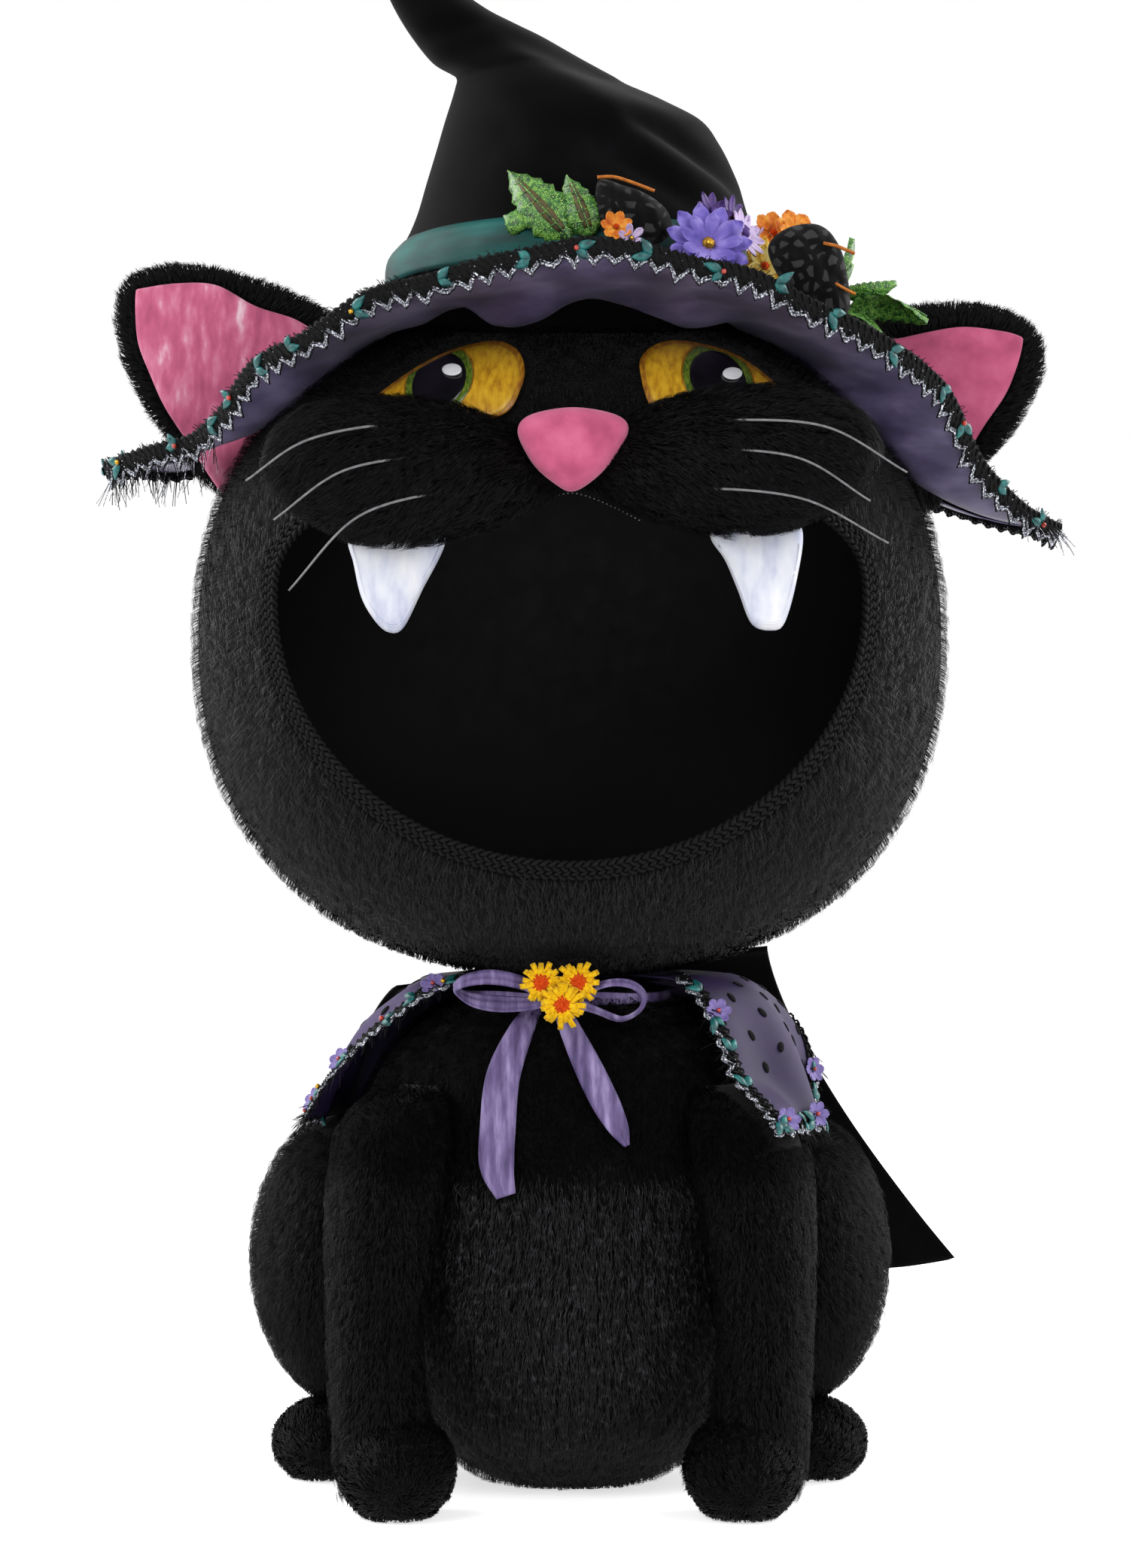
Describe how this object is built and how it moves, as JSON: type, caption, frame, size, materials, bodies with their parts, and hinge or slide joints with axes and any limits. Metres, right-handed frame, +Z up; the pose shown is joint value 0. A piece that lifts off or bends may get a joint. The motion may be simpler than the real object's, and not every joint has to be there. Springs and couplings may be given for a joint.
{
  "type": "stuffed black cat treat holder",
  "caption": "Large sitting stuffed black cat dressed as a witch, whose round head is an open-mouthed treat bowl that turns on a neck post, under a pointed hat that lifts off.",
  "frame": {"origin": "the point on the floor under the middle of the cat, on the flat underside of the base disc", "axes": "+Z up, the cat faces -Y, and +X is to the right as a viewer in front sees it"},
  "size_m": [0.5482, 0.457, 0.915],
  "materials": {
    "fur_black": "matte",
    "velvet_black": "matte",
    "satin_purple": "satin",
    "satin_lavender": "satin",
    "satin_teal": "satin",
    "satin_white": "satin",
    "felt_yellow": "matte",
    "velvet_pink": "matte",
    "cotton_patterned": "matte",
    "petal_purple": "matte",
    "petal_orange": "matte",
    "petal_yellow": "matte",
    "leaf_glitter": "satin",
    "braid_black": "matte",
    "eye_gold": "satin",
    "whisker_grey": "satin",
    "bowl_black": "matte",
    "socket_plastic": "satin",
    "steel": "satin",
    "board": "matte"
  },
  "bodies": {
    "body": {"base_disc": "board", "neck_post": "steel", "flange_screw_1": "steel", "flange_screw_2": "steel", "flange_screw_3": "steel", "torso": "fur_black", "foreleg_left": "fur_black", "foreleg_right": "fur_black", "forepaw_left": "fur_black", "forepaw_right": "fur_black", "haunch_left": "fur_black", "haunch_right": "fur_black", "hind_paw_left": "fur_black", "hind_paw_right": "fur_black", "tail": "fur_black", "back_cape": "velvet_black", "capelet_left": "satin_purple", "capelet_right": "satin_purple", "neck_ribbon": "satin_lavender", "bow_loop_left": "satin_lavender", "bow_loop_right": "satin_lavender", "bow_tail_left": "satin_lavender", "bow_tail_right": "satin_lavender", "bow_daisy_1": "felt_yellow", "bow_daisy_2": "felt_yellow", "bow_daisy_3": "felt_yellow"},
    "head": {"bowl_front": "bowl_black", "bowl_back": "bowl_black", "head_plush": "fur_black", "head_socket": "socket_plastic", "mouth_trim": "braid_black", "cheek_left": "fur_black", "cheek_right": "fur_black", "nose": "velvet_pink", "fang_left": "satin_white", "fang_right": "satin_white", "eye_left": "eye_gold", "eye_right": "eye_gold", "ear_left": "fur_black", "ear_right": "fur_black", "ear_lining_left": "velvet_pink", "ear_lining_right": "velvet_pink", "whisker_left_1": "whisker_grey", "whisker_left_2": "whisker_grey", "whisker_left_3": "whisker_grey", "whisker_right_1": "whisker_grey", "whisker_right_2": "whisker_grey", "whisker_right_3": "whisker_grey"},
    "hat": {"hat_crown": "velvet_black", "hat_band": "satin_teal", "hat_brim": "velvet_black", "brim_lining": "satin_lavender", "hat_bow_loop_left": "cotton_patterned", "hat_bow_loop_right": "cotton_patterned", "hat_leaf_left": "leaf_glitter", "hat_leaf_middle": "leaf_glitter", "hat_leaf_right": "leaf_glitter", "hat_daisy_purple": "petal_purple", "hat_flower_orange": "petal_orange", "hat_flower_yellow": "petal_yellow"}
  },
  "joints": [
    {"name": "head_turn", "type": "hinge", "parent": "body", "child": "head", "pos_m": [0, 0.005, 0.301], "axis": [0, 0, 1], "range_deg": [-30, 30]},
    {"name": "hat_lift", "type": "slide", "parent": "head", "child": "hat", "axis": [0, 0, 1], "range_m": [0, 0.25]}
  ]
}
